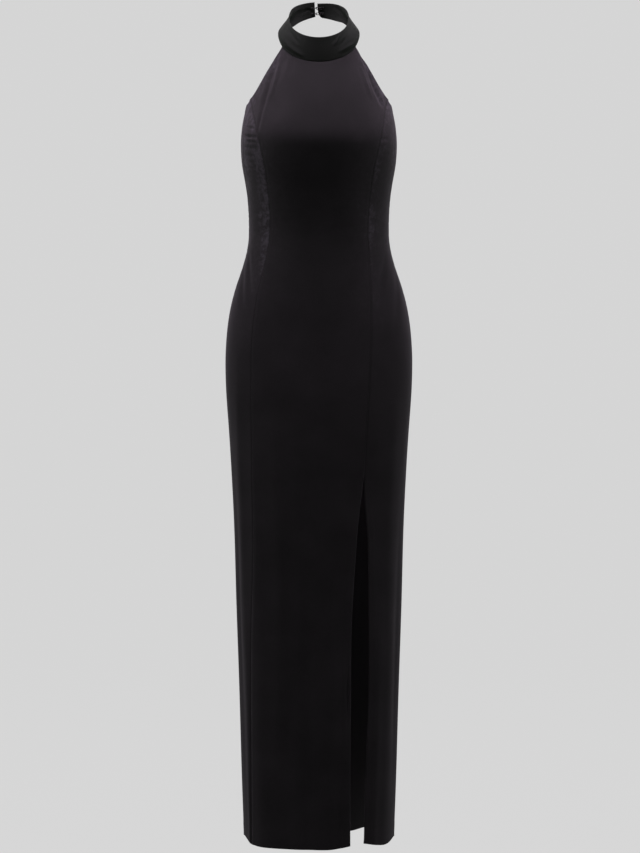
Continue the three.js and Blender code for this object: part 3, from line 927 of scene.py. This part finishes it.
# %% [markdown]
# The photo was taken in front of an even pale grey, and nothing shows of a floor. One
# sheet of paper sweeps from the floor up the wall, far enough behind not to catch the
# dress's shade, and so far that a camera can also stand there and look at the back. The
# paper's pale tone is nearly all its own glow, as lamps alone would leave it uneven.

# %% Stage
FLOOR = -1.72
WALL_BEHIND = 8.0
SWEEP = 1.2
SWEEP_STEPS = 12
STAGE_SIDE = 18.0
STAGE_TOP = 14.0
PAPER_GLOW = 0.985

sweep = []
for i in range(SWEEP_STEPS + 1):
    turn = math.radians(90 * i / SWEEP_STEPS)
    sweep.append((WALL_BEHIND + SWEEP * math.sin(turn), FLOOR + SWEEP * (1 - math.cos(turn))))
profile = [(-STAGE_SIDE, FLOOR), *sweep, (WALL_BEHIND + SWEEP, STAGE_TOP)]
paper_points = [(x, y, z) for y, z in profile for x in (-STAGE_SIDE, STAGE_SIDE)]
paper_faces = [(2 * i, 2 * i + 1, 2 * i + 3, 2 * i + 2) for i in range(len(profile) - 1)]
stage_mesh = bpy.data.meshes.new("studio_paper")
stage_mesh.from_pydata(paper_points, [], paper_faces)
stage = bpy.data.objects.new("studio_paper", stage_mesh)
scene.collection.objects.link(stage)
smooth(stage_mesh)
paper = new_material("pale_matte_paper")
paper_shader = add_node(
    paper, "ShaderNodeBsdfPrincipled",
    inputs={
        "Base Color": linear("#1c1c1c"),
        "Roughness": 1.0,
        "Specular IOR Level": 0.0,
        "Emission Color": linear("#d6d6d6"),
        "Emission Strength": PAPER_GLOW,
    },
)
add_node(paper, "ShaderNodeOutputMaterial", links={"Surface": (paper_shader, "BSDF")})
stage_mesh.materials.append(paper)
print("stage sweep of", SWEEP, "m,", WALL_BEHIND, "m behind")

# %% [markdown]
# A wide soft light hangs above the dress and a little in front, so the sloping chest is
# lit and the upright front below the bust falls almost to black, as in the photo. Two
# more, high at the sides, light the sides of the chest and the neck band. Two tall weak
# lights stand off to the sides at the height of the neck and pick out the pile along the
# edges. A low one in front keeps some tone in the skirt and the slit, and one behind
# shows the back to other cameras. Places and sizes are in metres and power in watts.

# %% Lights
ROOM_LIGHT = 0.09


def soft_light(name, place, aim, size, power, colour="#ffffff"):
    data = bpy.data.lights.new(name, "AREA")
    data.shape = "RECTANGLE"
    data.size, data.size_y = size
    data.energy = power
    data.color = linear(colour)[:3]
    lamp = bpy.data.objects.new(name, data)
    scene.collection.objects.link(lamp)
    lamp.location = place
    lamp.rotation_euler = (Vector(aim) - Vector(place)).to_track_quat("-Z", "Y").to_euler()


HIGH = dict(aim=(0, 0, -0.15), size=(0.5, 0.5))
SIDE = dict(aim=(0, 0, -0.35), size=(0.5, 0.9))
soft_light(
    "overhead", place=(0, -0.34, 1.7), aim=(0, -0.1, -0.3), size=(1.2, 0.4),
    power=100, colour="#fbe7fb",
)
soft_light("high_right", place=(-1.15, -0.4, 1.3), power=29, **HIGH)
soft_light("high_left", place=(1.15, -0.4, 1.3), power=24, **HIGH)
soft_light("right_side", place=(-1.6, -0.1, 0.1), power=4, **SIDE)
soft_light("left_side", place=(1.6, -0.1, 0.1), power=1, **SIDE)
soft_light("low_front", place=(0, -3.6, -1.1), aim=(0, 0, -0.7), size=(1.2, 1.2), power=13)
soft_light("behind", place=(0, 3.4, 1.0), aim=(0, 0, -0.5), size=(1.4, 1.0), power=50)
scene.world = bpy.data.worlds.new("dim_room")
scene.world.use_nodes = True
background = scene.world.node_tree.nodes["Background"]
background.inputs["Color"].default_value = linear("#ffffff")
background.inputs["Strength"].default_value = ROOM_LIGHT
scene.view_settings.view_transform = "Standard"

# %% [markdown]
# The last cell brings the scene up to date.

# %% Finish
bpy.context.view_layer.update()
